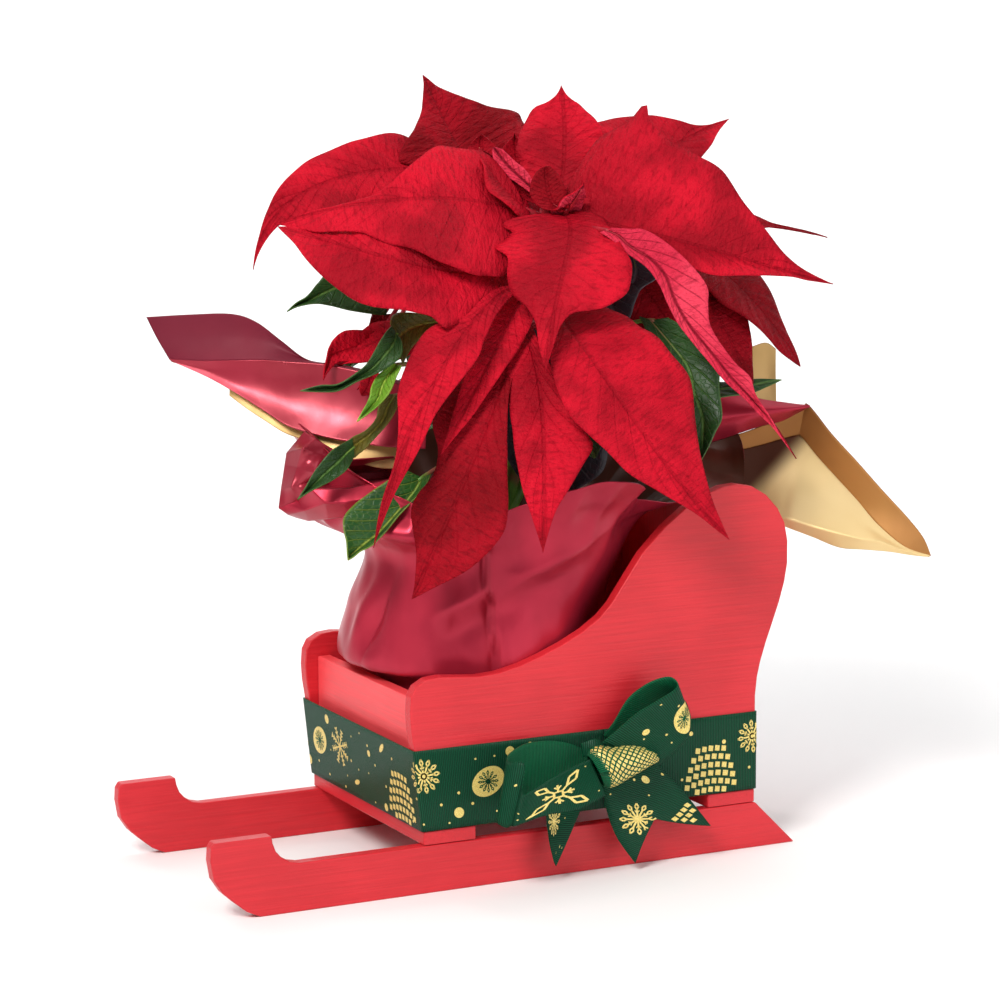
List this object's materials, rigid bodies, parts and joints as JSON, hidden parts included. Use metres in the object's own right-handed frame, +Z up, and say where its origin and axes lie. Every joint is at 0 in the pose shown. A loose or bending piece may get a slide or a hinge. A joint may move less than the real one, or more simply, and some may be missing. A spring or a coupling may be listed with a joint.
{
  "type": "potted poinsettia in a gift sleigh",
  "caption": "Potted red poinsettia wrapped in two-tone film, standing in a red wooden gift sleigh with a printed green ribbon and bow.",
  "frame": {"origin": "middle of the bounding box's foot, on the surface that the runners stand on", "axes": "+X along the runners from their curled front towards the tall back, +Y away from the side with the bow, +Z up"},
  "size_m": [0.3706, 0.2468, 0.37],
  "materials": {
    "sleigh_red": "satin red paint on thin board",
    "sleigh_red_front": "satin red paint on thin board, a little lighter",
    "ribbon_green": "woven satin ribbon, dark green with printed gold",
    "pot_plastic": "plain dark grower's pot",
    "soil_brown": "loose peat potting soil",
    "film_maroon": "thin satin film, maroon outside and gold inside",
    "bract_red": "velvety red bract with raised veins",
    "leaf_green": "green leaf, matt with a soft shine",
    "bud_yellow_green": "small waxy buds"
  },
  "bodies": {
    "root": {"runner_near": "sleigh_red", "runner_far": "sleigh_red", "slat_front": "sleigh_red", "slat_rear": "sleigh_red", "side_near": "sleigh_red", "side_far": "sleigh_red", "front_board": "sleigh_red_front", "back_board": "sleigh_red", "floor_board": "sleigh_red", "ribbon_band": "ribbon_green", "bow_loop_left": "ribbon_green", "bow_loop_right": "ribbon_green", "bow_tail_left": "ribbon_green", "bow_tail_right": "ribbon_green", "bow_knot": "ribbon_green", "pot": "pot_plastic", "soil": "soil_brown", "film_wrap": "film_maroon", "leafy_stems": "leaf_green", "bloom_main": "bract_red", "bloom_rear": "bract_red", "bloom_right": "bract_red", "buds_main": "bud_yellow_green", "buds_rear": "bud_yellow_green", "buds_right": "bud_yellow_green"}
  },
  "joints": []
}
